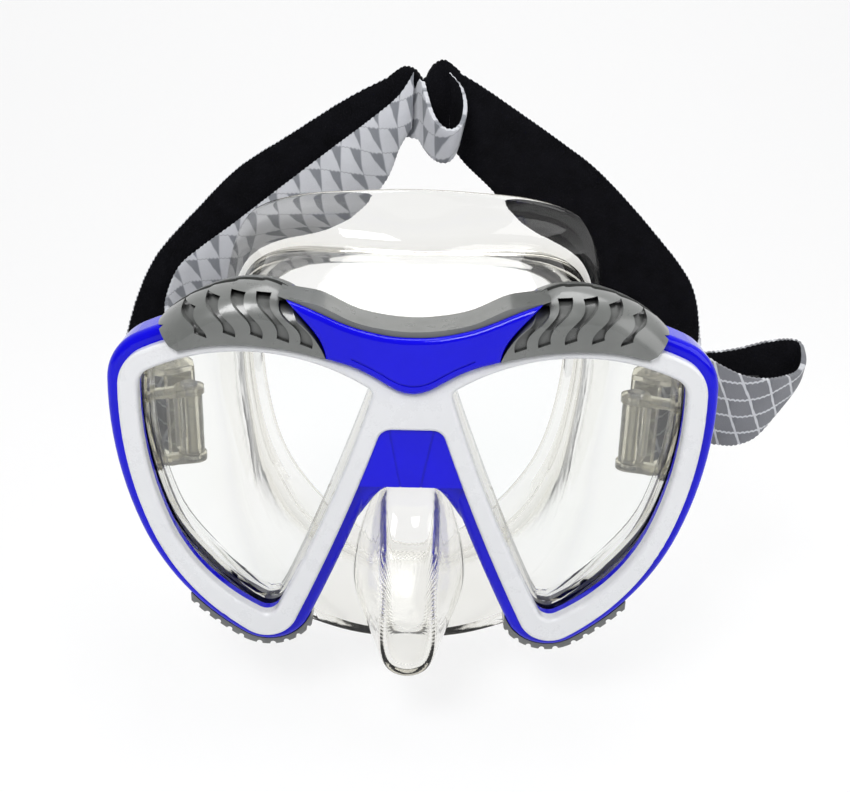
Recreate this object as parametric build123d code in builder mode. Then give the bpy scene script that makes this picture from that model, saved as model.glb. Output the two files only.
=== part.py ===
"""Twin-lens snorkel mask, hung by its strap.

The mask stands upright as it is worn: lenses towards -Y, face seal towards +Y, +Z up and
the wearer's right eye at -X. The strap rises behind it to the crown, where a peg holds it.
The origin is the place where that peg bears on the underside of the strap.
All lengths are in millimetres. Depth is measured back from the front face of the bezel and
height from the eye line, which runs through the two buckles.
"""

import os
from math import cos, radians, sin

from build123d import *

os.makedirs("parts", exist_ok=True)

# ---- Where the mask hangs -------------------------------------------------------------------
peg_depth = 75.0          # from the bezel's front back to the peg's bearing point
peg_height = 94.0         # from the eye line up to the peg's bearing point
front = Plane(origin=(0, -peg_depth, -peg_height), x_dir=(1, 0, 0), z_dir=(0, -1, 0))

# ---- Front parts: widths are grown outwards from the bezel's lens opening ---------------------
bezel_width = 5.6         # white trim round each opening
bezel_drop = 2.6          # extra width of the trim at the lowest corner
bezel_thick = 3.5
bezel_round = 1.2
frame_lip = 4.0           # main frame's outer edge beyond the bezel's
frame_thick = 12.5        # main frame, from behind the bezel to its back
frame_round = 2.6         # rounding of the frame's front outer edge
frame_back_round = 1.2
ledge_thick = 3.0         # front ledge that the lens flange seats against
ledge_inset = 0.4         # the ledge stands this far outside the bezel's opening
arch_height = -8.3        # underside of the nose arch
arch_recess = 1.0         # face of the nose arch behind the bezel's front
crease_top = 6.2          # half spacing of the arch's two creases, at its top
crease_bottom = 2.8
saddle_height = 9.4       # underside of the bezel's centre
saddle_half = 9.5
web_top = 25.0            # top of the pieces' joining web, under the brow panel
web_half = 13.0
panel_proud = 2.0         # brow panel stands this far ahead of the bezel
panel_round = 1.4
border_inset = 2.6        # engraved line along the brow panel's lower edge
border_width = 0.5
border_depth = 0.35
rim_thick = 1.6           # soft rim along the brow panel's top edge
fit = 0.1                 # clearance between moulded pieces that seat in each other

# ---- Lenses, flange and retainer ---------------------------------------------------------------
lens_thick = 3.8
lens_lap = 2.4            # lens edge beyond the bezel's opening
lens_bevel = 0.5
flange_wall = 1.7         # silicone round the lens edge
flange_lip = 0.9          # silicone lip over the lens, beyond the bezel's opening
lip_thick = 1.0           # silicone in front of and behind the glass
retainer_thick = 2.8
retainer_lap = 1.3        # retainer's inner edge beyond the opening

# ---- Skirt -------------------------------------------------------------------------------------
skirt_wall = 1.8
neck_gap = 0.3            # between the skirt and the pieces that it passes
face_radius = 95.0        # curve of the face seal in plan
seal_depth = 52.0         # depth of the seal at the middle of the forehead
seal_thick = 1.8

# ---- Grips -------------------------------------------------------------------------------------
grip_proud = 1.2          # grips stand ahead of the bezel's front
grip_depth = 16.0         # back edge of the grips
groove_depth = 1.2
chin_grip_thick = 1.9
chin_grip_front = 5.0
chin_grip_length = 8.0    # along the depth of the frame
chin_rib_pitch = 4.2
chin_rib_gap = 0.9        # radius of the scallops between the ribs
chin_rib_top = -48.5      # no scallops above this height

# ---- Buckles -----------------------------------------------------------------------------------
pivot_x = 66.0            # pivot pin from the middle plane
pivot_depth = 27.0
rest_angle = 35.0         # buckle's lie at rest, outwards from straight back
pivot_pin_radius = 1.5
pin_clearance = 0.05
side_gap = 0.15           # end float of the turning pieces
ear_radius = 4.2
ear_thick = 2.2
arm_drop = 0.6            # back edge of the ears' arms, ahead of the pivot, clear of the swing
barrel_radius = 3.6
barrel_half = 9.5         # half height of the buckle's barrel
bracket_thick = 1.5
bracket_half = 13.0
spine_near = 5.0          # buckle's spine, measured back from the pivot
spine_far = 7.4
spine_half = 4.5
cheek_thick = 2.0
cheek_far = 17.0
strap_slot = 27.0         # height of the strap's slot between the cheeks
roller_reach = 13.0       # roller's axis behind the pivot
roller_side = -1.0        # and to the side
roller_radius = 2.6
roller_pin_radius = 1.2
lever_side = 7.6          # lever's pin to the outer side of the roller's row
lever_tube = 2.2
lever_pin_radius = 1.0
tab_length = 8.0
tab_half = 8.0
tab_thick = 1.8
pin_head = 0.8            # height of a pin's flanged head
spring_room = 4.4         # part of the lever's pin that its torsion spring takes
spring_radius = 1.55
spring_wire = 0.3
spring_pitch = 0.85
spring_turns = 4.0

# ---- Strap -------------------------------------------------------------------------------------
strap_thick = 2.4
strap_end_width = 26.0
soft_gap = 0.35           # between soft pieces and what they pass
swing_gap = 0.7           # between the turn round a roller, which swings, and the strap behind it
patch_thick = 0.8
patch_height = 14.0

pieces = {}


def at(x, depth, height):
    """A point in the row's own frame from a place on the mask."""
    return Vector(x, depth - peg_depth, height - peg_height)


def level(height):
    """Horizontal plane whose local axes are x and depth."""
    return Plane(origin=at(0, 0, height), x_dir=(1, 0, 0), z_dir=(0, 0, 1))


def behind(depth):
    """Frontal plane at one depth, whose local axes are x and height."""
    return front.offset(-depth)


def keep(name, part):
    """Label a finished piece and list it for export."""
    part.label = name
    pieces[name] = part


def flat_edges(builder, depth):
    """Edges of a piece that lie in the frontal plane at one depth."""
    place = depth - peg_depth
    return builder.edges().filter_by(
        lambda e: abs(e.center().Y - place) < 0.02 and e.bounding_box().size.Y < 0.02)


def mirrored(part):
    """The left-hand twin of a right-hand piece."""
    with BuildPart() as twin:
        add(part)
        mirror(about=Plane.YZ, mode=Mode.REPLACE)
    return twin.part


# ---- Basic outlines ------------------------------------------------------------------------------
def drop_outline(drop, rounds=(2.5, 6.0, 4.0)):
    """A drop with its point down: corners at the brow's inner end, temple and cheek."""
    inner = (10.6, 20.6)
    outer = (74.6, 24.4)
    lower = (40.4, -52.0 - drop)
    with BuildSketch() as shape:
        with BuildLine():
            ThreePointArc(inner, (42.5, 31.4), outer)
            side = ThreePointArc(outer, (74.4, 2.0), (69.2, -20.5))
            TangentArc(side @ 1, lower, tangent=side % 1)
            ThreePointArc(lower, (24.1, -17.0), inner)
        make_face()
        for corner, radius in zip((inner, outer, lower), rounds):
            fillet(shape.vertices().sort_by_distance((*corner, 0))[0], radius=radius)
    return shape.sketch


opening = drop_outline(0)
trim = drop_outline(bezel_drop)


def redrawn(sketch, sides=(1,)):
    """The sketch's outer edges drawn afresh as lines and arcs, here and where asked mirrored."""
    edges = sketch.face().outer_wire().order_edges()
    with BuildSketch() as fresh:
        for side in sides:
            with BuildLine():
                for edge in edges:
                    start, middle, end = [(side * p.X, p.Y) for p in (edge @ 0, edge @ 0.5, edge @ 1)]
                    if edge.geom_type == GeomType.LINE:
                        Line(start, end)
                    else:
                        ThreePointArc(start, middle, end)
            make_face()
    return fresh.sketch


def grown(outline, amount, sides=(1,)):
    """One eye's outline, or both, grown or shrunk."""
    with BuildSketch() as shape:
        add(outline)
        if amount:
            offset(amount=amount)
    return redrawn(shape.sketch, sides)


def both_eyes(outline, amount, web_bottom=None, half=0.0, web_round=0.0):
    """Both eyes' outlines grown by one width and, where asked, joined over the nose."""
    with BuildSketch() as shape:
        add(grown(outline, amount, (1, -1)))
        if web_bottom is not None:
            with Locations((0, (web_bottom + web_top) / 2)):
                Rectangle(2 * half, web_top - web_bottom)
            for side in (-half, half):
                fillet(shape.vertices().sort_by_distance((side, web_bottom, 0))[0], radius=web_round)
    return shape.sketch if web_bottom is None else redrawn(shape.sketch)


def half_outline(points):
    """Closed outline through points of the right half, repeated on the left."""
    left = [(-x, y) for x, y in reversed(points) if x > 0]
    with BuildSketch() as shape:
        with BuildLine():
            Polyline(*points, *left, close=True)
        make_face()
    return shape.sketch


bezel_face = both_eyes(trim, bezel_width, saddle_height, saddle_half, 4.0)
frame_face = both_eyes(trim, bezel_width + frame_lip, arch_height, web_half, 2.5)
frame_back = bezel_thick + frame_thick
seat_back = bezel_thick + ledge_thick                     # face that the lens flange seats on
flange_back = seat_back + 2 * lip_thick + lens_thick

# Grip seen from the front, right-hand side.
with BuildSketch() as grip_face:
    with BuildLine():
        Spline((23.4, 30.5), (32.5, 32.7), (43.0, 33.9), (54.0, 33.7), (63.0, 31.9))
        Line((63.0, 31.9), (64.6, 37.2))
        Line((64.6, 37.2), (69.6, 37.6))
        Spline((69.6, 37.6), (63.6, 42.8), (55.0, 47.0), (44.4, 49.2), (37.5, 48.4), (33.6, 46.6))
        Spline((33.6, 46.6), (28.6, 40.6), (24.6, 34.8), (23.4, 30.5))
    make_face()

# Raised brow panel between the grips, and the soft rim along its top.
panel_bottom = ((0, 20.9), (4.4, 21.9), (9.5, 24.9), (16.5, 28.4), (23.4, 30.5))
panel_side = ((23.4, 30.5), (24.6, 34.8), (28.6, 40.6), (33.6, 46.6))
panel_top = ((33.6, 46.6), (26.0, 43.5), (17.0, 39.6), (9.0, 37.5), (0, 36.7))
with BuildSketch() as panel_face:
    with BuildLine():
        Spline(*panel_bottom, tangents=((1, 0), (1, 0.3)))
        Spline(*panel_side)
        Spline(*panel_top, tangents=((-1, -0.35), (-1, 0)))
        mirror(about=Plane.YZ)
    make_face()
rim_end = (36.0, 47.6)                                    # under the grip's skin
with BuildSketch() as rim_face:
    with BuildLine():
        Spline(*panel_top, tangents=((-1, -0.35), (-1, 0)))
        Spline((0, 36.7 + rim_thick), (9.0, 37.5 + rim_thick), (17.0, 39.6 + rim_thick),
               (26.0, 43.5 + 1.2 * rim_thick), rim_end, tangents=((1, 0), (1, 0.4)))
        Line(rim_end, (33.6, 46.6))
        Line((0, 36.7), (0, 36.7 + rim_thick))
    make_face()
    mirror(about=Plane.YZ)

# ---- Front bezel: dished white trim in one piece, snapped on to the frame ---------------------------
with BuildPart() as bezel:
    with BuildSketch(front):
        add(bezel_face)
    extrude(amount=-bezel_thick)
    with BuildSketch(front):
        add(both_eyes(opening, 0))
        add(panel_face.sketch)
        add(grip_face.sketch)
        mirror(grip_face.sketch, about=Plane.YZ)
    extrude(amount=-bezel_thick, mode=Mode.SUBTRACT)
    fillet(flat_edges(bezel, 0), radius=bezel_round)
keep("front_bezel", bezel.part)

# ---- Main frame -------------------------------------------------------------------------------------
with BuildPart() as frame:
    with BuildSketch(behind(bezel_thick)):
        add(frame_face)
    extrude(amount=-frame_thick)
    fillet(flat_edges(frame, bezel_thick), radius=frame_round)
    fillet(flat_edges(frame, frame_back), radius=frame_back_round)
    with BuildSketch(behind(-panel_proud)):
        add(panel_face.sketch)
    extrude(amount=-(panel_proud + frame_back - 2))
    fillet(flat_edges(frame, -panel_proud), radius=panel_round)
    with BuildSketch(behind(arch_recess)):
        with Locations((0, (arch_height + saddle_height) / 2)):
            Rectangle(2 * web_half + 6, saddle_height - arch_height)
        add(frame_face, mode=Mode.INTERSECT)
        add(bezel_face, mode=Mode.SUBTRACT)
    extrude(amount=-(bezel_thick - arch_recess + frame_round))
    with BuildSketch(behind(-panel_proud)):
        with BuildLine():
            Spline(*[(x, y + border_inset) for x, y in panel_bottom[:-1]], tangents=((1, 0), (1, 0.5)))
            mirror(about=Plane.YZ)
        trace(line_width=border_width)
    extrude(amount=-border_depth, mode=Mode.SUBTRACT)
    with BuildSketch(behind(arch_recess)):
        with BuildLine():
            Line((crease_top, saddle_height), (crease_bottom, arch_height))
        with BuildLine():
            Line((-crease_top, saddle_height), (-crease_bottom, arch_height))
        trace(line_width=border_width)
    extrude(amount=-border_depth, mode=Mode.SUBTRACT)
    with BuildSketch(behind(bezel_thick)):
        add(both_eyes(opening, ledge_inset))
    extrude(amount=-frame_thick, mode=Mode.SUBTRACT)
    with BuildSketch(behind(seat_back)):
        add(both_eyes(opening, lens_lap + flange_wall + fit))
    extrude(amount=-(frame_back - seat_back), mode=Mode.SUBTRACT)
keep("main_frame", frame.part)

# ---- Brow grip: soft overmould, two grooved grips joined by the rim over the brow panel ------------------
grip_sections = ((-grip_proud, 7.5), (0.6, 4.2), (4.0, 1.4), (9.0, 0.0), (grip_depth, 0.6))


def grip_body(sink):
    """Domed right-hand grip: its crest falls away towards the front; sink lowers its skin."""
    with BuildPart() as body:
        for depth, fall in grip_sections:
            low = 0.2 * sink
            down = fall + sink
            crest_end = (69.6 - 0.6 * down, 37.6 - 0.6 * down)
            crest_start = (33.6 - 0.35 * down, 46.6 - 0.75 * down)
            with BuildSketch(behind(depth + sink)):
                with BuildLine():
                    Spline((23.4 + low, 30.5 + low), (32.5, 32.7 + low), (43.0, 33.9 + low),
                           (54.0, 33.7 + low), (63.0 - low, 31.9 + low))
                    Line((63.0 - low, 31.9 + low), crest_end)
                    Spline(crest_end, (63.6 - 0.3 * down, 42.8 - down), (55.0, 47.0 - down),
                           (44.4, 49.2 - down), (37.5, 48.4 - down), crest_start)
                    Spline(crest_start, (28.4 - 0.2 * down, 40.6 - 0.5 * down), (23.4 + low, 30.5 + low))
                make_face()
        loft()
    return body.part


# Each groove hooks over at its outer end and runs down in an S to the bezel.
groove_tops = ((32.5, 44.6), (38.6, 46.6), (45.4, 46.8), (52.2, 45.6), (58.8, 42.8))
notch_places = (37.5, 44.5, 51.5, 58.0, 63.5)
notch_lengths = (8.0, 8.5, 8.0, 7.0, 5.5)
notch_width = 2.6
groove_feet = ((27.2, 33.4), (33.4, 34.9), (40.4, 35.9), (47.6, 36.2), (55.2, 35.8))
with BuildPart() as grooves:
    for (tx, ty), (fx, fy) in zip(groove_tops, groove_feet):
        with BuildSketch(behind(-2 * grip_proud)):
            with BuildLine():
                Spline((tx + 3.4, ty + 1.0), (tx + 2.6, ty - 2.2), (fx + 4.6, (ty + fy) / 2 + 0.4),
                       (fx + 3.0, fy + 1.2))
                Line((fx + 3.0, fy + 1.2), (fx - 0.2, fy))
                Spline((fx - 0.2, fy), (fx + 1.4, (ty + fy) / 2 - 0.6), (tx - 0.4, ty - 2.0),
                       (tx - 0.6, ty + 0.6))
                Line((tx - 0.6, ty + 0.6), (tx + 3.4, ty + 1.0))
            make_face()
        extrude(amount=-(grip_depth - 4))
    add(grip_body(groove_depth), mode=Mode.SUBTRACT)

with BuildPart() as notches:
    for x, length in zip(notch_places, notch_lengths):
        with BuildSketch(level(40)):
            with Locations(Location((x, 10.5), 12)):
                SlotOverall(length, notch_width)
        extrude(amount=15)
    add(grip_body(groove_depth), mode=Mode.SUBTRACT)

with BuildPart() as grip_half:
    add(grip_body(0))
    add(grooves.part, mode=Mode.SUBTRACT)
    add(notches.part, mode=Mode.SUBTRACT)

with BuildPart() as brow_grip:
    add(grip_half.part)
    mirror(about=Plane.YZ)
    with BuildSketch(behind(-grip_proud + 1.0)):
        add(rim_face.sketch)
    extrude(amount=-(grip_proud + grip_depth - 4))
    with BuildSketch(behind(bezel_thick)):
        add(frame_face)
    extrude(amount=-frame_thick, mode=Mode.SUBTRACT)
    add(frame.part, mode=Mode.SUBTRACT)
    add(bezel.part, mode=Mode.SUBTRACT)
keep("brow_grip", brow_grip.part)

# ---- Chin grips ---------------------------------------------------------------------------------------
chin_skin = grown(trim, bezel_width + frame_lip + chin_grip_thick)
chin_edge = chin_skin.face().outer_wire()
with BuildPart() as chin_grip:
    with BuildSketch(behind(chin_grip_front)):
        add(chin_skin)
        with Locations((47, -60)):
            Rectangle(36, 26, mode=Mode.INTERSECT)
        add(frame_face, mode=Mode.SUBTRACT)
        for i in range(int(chin_edge.length / chin_rib_pitch)):
            spot = chin_edge.position_at(i * chin_rib_pitch / chin_edge.length)
            if spot.Y < chin_rib_top:
                with Locations((spot.X, spot.Y)):
                    Circle(chin_rib_gap, mode=Mode.SUBTRACT)
    extrude(amount=-chin_grip_length)
keep("chin_grip_right", chin_grip.part)
keep("chin_grip_left", mirrored(chin_grip.part))

# ---- Lenses -------------------------------------------------------------------------------------------
with BuildPart() as lens:
    with BuildSketch(behind(seat_back + lip_thick)):
        add(grown(opening, lens_lap))
    extrude(amount=-lens_thick)
    chamfer(lens.edges().filter_by(lambda e: abs(e.tangent_at(0.5).Y) < 0.5), length=lens_bevel)
keep("lens_right", lens.part)
keep("lens_left", mirrored(lens.part))

# ---- Retainer rings -------------------------------------------------------------------------------------
with BuildPart() as retainer:
    with BuildSketch(behind(flange_back)):
        add(grown(opening, lens_lap + flange_wall))
        add(grown(opening, retainer_lap), mode=Mode.SUBTRACT)
    extrude(amount=-retainer_thick)
keep("retainer_right", retainer.part)
keep("retainer_left", mirrored(retainer.part))

# ---- Skirt: clear silicone in one moulding ------------------------------------------------------------------
# Outlines of the right half at rising depths, from the top of the middle line to its bottom.
chamber_outlines = (
    (16.3, ((0, 33.0), (24, 34.0), (50, 34.5), (71, 29.5), (76.5, 12.0), (74.8, -9.0),
            (65.0, -31.0), (49.0, -52.5), (34.0, -61.5), (17.0, -67.5), (0, -69.0))),
    (21.0, ((0, 33.5), (22, 34.5), (42, 35.0), (55, 29.0), (55.5, 12.0), (52.0, -9.0),
            (49.5, -29.0), (42.0, -48.0), (32.0, -58.5), (17.0, -66.5), (0, -68.5))),
    (34.0, ((0, 40.0), (20, 40.5), (40, 39.5), (52, 31.0), (53.0, 13.0), (51.0, -8.0),
            (48.5, -28.0), (40.0, -47.0), (29.0, -57.5), (15.0, -64.0), (0, -66.0))),
    (48.0, ((0, 49.0), (20, 49.0), (40, 46.5), (53, 36.0), (55.5, 14.0), (53.5, -8.0),
            (49.5, -27.0), (40.0, -44.5), (28.0, -54.0), (14.0, -60.0), (0, -62.0))),
    (76.0, ((0, 51.0), (20, 51.0), (42, 48.0), (56, 37.0), (59.5, 14.0), (58.0, -8.0),
            (53.0, -27.0), (42.0, -44.5), (29.0, -54.5), (15.0, -60.5), (0, -62.5))),
)
pocket_outlines = (
    (-11.0, ((0, -36.0), (4.5, -38.0), (7.3, -46.0), (7.0, -54.0), (4.0, -60.0), (0, -61.5))),
    (-6.0, ((0, -22.0), (6.0, -25.5), (10.0, -39.0), (10.0, -54.0), (6.0, -63.2), (0, -65.5))),
    (4.0, ((0, -9.8), (6.5, -12.5), (13.3, -34.0), (13.8, -53.0), (8.5, -65.0), (0, -68.0))),
    (16.0, ((0, -9.8), (7.5, -12.5), (14.8, -33.0), (16.5, -52.0), (11.0, -65.0), (0, -69.0))),
    (26.0, ((0, -9.8), (9.0, -12.5), (16.0, -33.0), (18.0, -52.0), (13.0, -64.0), (0, -68.0))),
)
seal_outer = ((0, 66.0), (18, 65.0), (37, 62.0), (53, 54.5), (61, 38.0), (64.5, 15.0), (62.5, -9.0),
              (57.0, -29.0), (46.0, -47.5), (31.5, -59.0), (15.5, -65.5), (0, -67.5))
seal_inner = ((0, 42.0), (18, 42.0), (35, 39.5), (46, 31.0), (49.5, 13.0), (47.5, -8.0),
              (42.0, -25.0), (31.5, -38.5), (21.0, -47.0), (11.5, -54.0), (0, -57.0))


def moved_in(points, inset):
    """Half outline moved inwards by one wall thickness, square to each stretch."""
    full = list(points)
    moved = []
    for i, (x, y) in enumerate(full):
        before = full[i - 1] if i else (-full[1][0], full[1][1])
        after = full[i + 1] if i < len(full) - 1 else (-full[-2][0], full[-2][1])
        run = Vector(after[0] - before[0], after[1] - before[1]).normalized()
        moved.append((x + inset * run.Y, y - inset * run.X))
    moved[0] = (0, moved[0][1])
    moved[-1] = (0, moved[-1][1])
    return tuple(moved)


def lofted(outlines, inset=0.0, shift_front=0.0, shift_rest=0.0):
    """Smooth solid through half outlines at their depths, optionally shrunk and shifted back."""
    with BuildPart() as solid:
        for i, (depth, points) in enumerate(outlines):
            shape = moved_in(points, inset) if inset else points
            with BuildSketch(behind(depth + (shift_rest if i else shift_front))):
                add(half_outline(shape))
        loft(ruled=True)
    return solid.part


chamber_start = chamber_outlines[0][0]
neck_reach = retainer_lap - neck_gap
chamber_solid = lofted(chamber_outlines)
chamber_space = lofted(chamber_outlines, skirt_wall, -skirt_wall, -0.6)
pocket_solid = lofted(pocket_outlines)
pocket_space = lofted(pocket_outlines, skirt_wall, skirt_wall, 0.6)
face_middle = seal_depth + face_radius

with BuildPart() as eye_rims:
    with BuildSketch(behind(chamber_start + 0.1)):
        add(half_outline(moved_in(chamber_outlines[0][1], skirt_wall / 3)))
        add(both_eyes(opening, neck_reach - skirt_wall), mode=Mode.SUBTRACT)
    extrude(amount=-skirt_wall)
    with BuildSketch(behind(flange_back - lip_thick)):
        add(both_eyes(opening, neck_reach))
        add(both_eyes(opening, neck_reach - skirt_wall), mode=Mode.SUBTRACT)
    extrude(amount=-(chamber_start + skirt_wall / 2 - flange_back + lip_thick))
    with BuildSketch(behind(seat_back)):
        add(both_eyes(opening, lens_lap + flange_wall))
        add(both_eyes(opening, flange_lip), mode=Mode.SUBTRACT)
    extrude(amount=-(flange_back - seat_back))
    with BuildSketch(behind(seat_back + lip_thick)):
        add(both_eyes(opening, lens_lap))
    extrude(amount=-lens_thick, mode=Mode.SUBTRACT)

with BuildPart() as seal:
    with BuildSketch(level(-80)):
        with Locations((0, face_middle)):
            Circle(face_radius + seal_thick)
            Circle(face_radius, mode=Mode.SUBTRACT)
    extrude(amount=160)
    with BuildSketch(behind(seal_depth - 4)):
        add(half_outline(seal_outer))
        add(half_outline(seal_inner), mode=Mode.SUBTRACT)
    extrude(amount=-40, mode=Mode.INTERSECT)

with BuildPart() as skirt:
    add(chamber_solid)
    with BuildSketch(level(-80)):
        with Locations((0, face_middle)):
            Circle(face_radius + seal_thick / 2)
    extrude(amount=160, mode=Mode.SUBTRACT)
    add(pocket_solid)
    add(chamber_space, mode=Mode.SUBTRACT)
    add(pocket_space, mode=Mode.SUBTRACT)
    add(seal.part)
    add(eye_rims.part)
    add(pocket_space, mode=Mode.SUBTRACT)
keep("skirt", skirt.part)

# ---- Buckles: right-hand pieces, then their twins ----------------------------------------------------------
lie = radians(rest_angle)
lever_reach = roller_reach


def on_buckle(height):
    """Horizontal plane at the pivot: local x points to the buckle's outer side, y along it."""
    return Plane(origin=at(pivot_x, pivot_depth, height), x_dir=(cos(lie), -sin(lie), 0),
                 z_dir=(0, 0, 1))


def pin(radius, half, place, head):
    """A headed pin standing on the eye line at one place of the buckle."""
    with BuildPart() as solid:
        for bottom, top, size in ((-half, half, radius), (-half - pin_head, -half, head),
                                  (half, half + pin_head, head)):
            with BuildSketch(on_buckle(bottom)):
                with Locations(place):
                    Circle(size)
            extrude(amount=top - bottom)
    return solid.part


ear_half = barrel_half + side_gap + ear_thick            # outer face of the bracket's ears
cheek_half = strap_slot / 2 + cheek_thick
roller_place = (roller_side, roller_reach)
lever_place = (lever_side, lever_reach)
bracket_x = pivot_x + 15.4                               # middle of the frame's side rail

with BuildPart() as bracket:
    with BuildSketch(level(-bracket_half)):
        with Locations((bracket_x, frame_back + bracket_thick / 2)):
            Rectangle(4.6, bracket_thick)
    extrude(amount=2 * bracket_half)
    for low in (-ear_half, ear_half - ear_thick):
        with BuildSketch(level(low)):
            with BuildLine():
                Polyline((bracket_x + 2.3, frame_back), (bracket_x - 2.3, frame_back),
                         (bracket_x - 2.3, frame_back + 3.0),
                         (pivot_x - 1.5, pivot_depth - ear_radius + 0.3),
                         (pivot_x + 3.6, pivot_depth - arm_drop),
                         (bracket_x + 2.3, frame_back + 3.6), close=True)
            make_face()
            with Locations((pivot_x, pivot_depth)):
                Circle(ear_radius)
                Circle(pivot_pin_radius, mode=Mode.SUBTRACT)
        extrude(amount=ear_thick)

with BuildPart() as buckle:
    with BuildSketch(on_buckle(-barrel_half)):
        Circle(barrel_radius)
        with Locations((0, spine_near / 2 + 0.5)):
            Rectangle(2 * barrel_radius - 1.2, spine_near + 1.0)
        Circle(pivot_pin_radius + pin_clearance, mode=Mode.SUBTRACT)
    extrude(amount=2 * barrel_half)
    with BuildSketch(on_buckle(-cheek_half)):
        with Locations((0, (spine_near + spine_far) / 2)):
            Rectangle(2 * spine_half, spine_far - spine_near)
    extrude(amount=2 * cheek_half)
    for low in (-cheek_half, strap_slot / 2):
        with BuildSketch(on_buckle(low)):
            with BuildLine():
                Polyline((-spine_half, spine_near), (spine_half, spine_near),
                         (lever_side + 2.4, lever_reach - 2.4), (lever_side + 2.4, lever_reach + 2.0),
                         (lever_side - 1.0, cheek_far), (roller_side - 3.0, cheek_far),
                         (roller_side - 5.4, cheek_far - 2.4), (roller_side - 5.4, roller_reach - 3.0),
                         close=True)
            make_face()
            with Locations(roller_place):
                Circle(roller_pin_radius, mode=Mode.SUBTRACT)
            with Locations(lever_place):
                Circle(lever_pin_radius, mode=Mode.SUBTRACT)
        extrude(amount=cheek_thick)

with BuildPart() as roller:
    with BuildSketch(on_buckle(side_gap - strap_slot / 2)):
        with Locations(roller_place):
            Circle(roller_radius)
            Circle(roller_pin_radius + pin_clearance, mode=Mode.SUBTRACT)
    extrude(amount=strap_slot - 2 * side_gap)

lever_length = strap_slot - 2 * side_gap - spring_room
with BuildPart() as lever:
    with BuildSketch(on_buckle(side_gap - strap_slot / 2)):
        with Locations(lever_place):
            Circle(lever_tube)
        with BuildLine():
            Polyline((lever_side - 2.0, lever_reach + 0.6), (lever_side - 3.0, lever_reach + 2.6),
                     (lever_side + 0.6, lever_reach + 2.0), close=True)
        make_face()
        with Locations(lever_place):
            Circle(lever_pin_radius + pin_clearance, mode=Mode.SUBTRACT)
    extrude(amount=lever_length)
    with BuildSketch(on_buckle(-tab_half)):
        with BuildLine():
            Polyline((lever_side + 0.2, lever_reach - 1.6), (lever_side + 2.0, lever_reach - 1.0),
                     (lever_side + 2.6, lever_reach - tab_length + 1.0),
                     (lever_side + 1.0, lever_reach - tab_length),
                     (lever_side + 0.2, lever_reach - tab_length + 1.0), close=True)
        make_face()
    extrude(amount=2 * tab_half)

with BuildPart() as lever_spring:
    with BuildLine():
        coil = Helix(pitch=spring_pitch, height=spring_turns * spring_pitch, radius=spring_radius,
                     center=(0, 0, 0), direction=(0, 0, 1))
    with BuildSketch(Plane(origin=coil @ 0, z_dir=coil % 0)):
        Circle(spring_wire)
    sweep(is_frenet=True)
spring_low = strap_slot / 2 - spring_room + spring_wire
spring_place = on_buckle(spring_low).from_local_coords(Vector(*lever_place, 0))
lever_spring_part = lever_spring.part.moved(Location(spring_place))

pivot_pin = pin(pivot_pin_radius, ear_half, (0, 0), pivot_pin_radius + 1.0)
roller_pin = pin(roller_pin_radius, cheek_half, roller_place, roller_pin_radius + 0.8)
lever_pin = pin(lever_pin_radius, cheek_half, lever_place, lever_pin_radius + 0.8)

# ---- Strap ------------------------------------------------------------------------------------------------
turn_inner = roller_radius + 0.1
turn_outer = turn_inner + strap_thick
turn_run = cheek_far - roller_reach + 3.0                # straight part behind the roller

with BuildPart() as turn:
    with BuildSketch(on_buckle(-strap_end_width / 2)):
        with BuildLine():
            Line((roller_side + turn_outer, roller_reach), (roller_side + turn_outer, roller_reach + turn_run))
            Line((roller_side + turn_outer, roller_reach + turn_run),
                 (roller_side + turn_inner, roller_reach + turn_run))
            Line((roller_side + turn_inner, roller_reach + turn_run), (roller_side + turn_inner, roller_reach))
            ThreePointArc((roller_side + turn_inner, roller_reach), (roller_side, roller_reach - turn_inner),
                          (roller_side - turn_inner, roller_reach))
            Line((roller_side - turn_inner, roller_reach), (roller_side - turn_inner, roller_reach + turn_run))
            Line((roller_side - turn_inner, roller_reach + turn_run),
                 (roller_side - turn_outer, roller_reach + turn_run))
            Line((roller_side - turn_outer, roller_reach + turn_run), (roller_side - turn_outer, roller_reach))
            ThreePointArc((roller_side - turn_outer, roller_reach), (roller_side, roller_reach - turn_outer),
                          (roller_side + turn_outer, roller_reach))
        make_face()
    extrude(amount=strap_end_width)

for name, part in (("buckle_bracket", bracket.part), ("buckle", buckle.part), ("strap_roller", roller.part),
                   ("release_lever", lever.part), ("pivot_pin", pivot_pin), ("roller_pin", roller_pin),
                   ("lever_pin", lever_pin), ("lever_spring", lever_spring_part), ("strap_turn", turn.part)):
    keep(f"{name}_right", part)
    keep(f"{name}_left", mirrored(part))


def band(stations):
    """Strap length through stations: centre, way its inner face looks, run direction, width."""
    with BuildPart() as solid:
        for centre, inner, run, width in stations:
            along = Vector(*run).normalized()
            across = along.cross(Vector(*inner)).normalized()
            with BuildSketch(Plane(origin=at(*centre), x_dir=across, z_dir=along)):
                Rectangle(width, strap_thick)
        loft(ruled=True)
    return solid.part


run_out = Vector(sin(lie), cos(lie), 0)
side_out = Vector(cos(lie), -sin(lie), 0)
band_side = roller_side - (turn_inner + turn_outer) / 2
band_start = (Vector(pivot_x, pivot_depth, 0) + run_out * (roller_reach + turn_run + swing_gap)
              + side_out * band_side)


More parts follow.
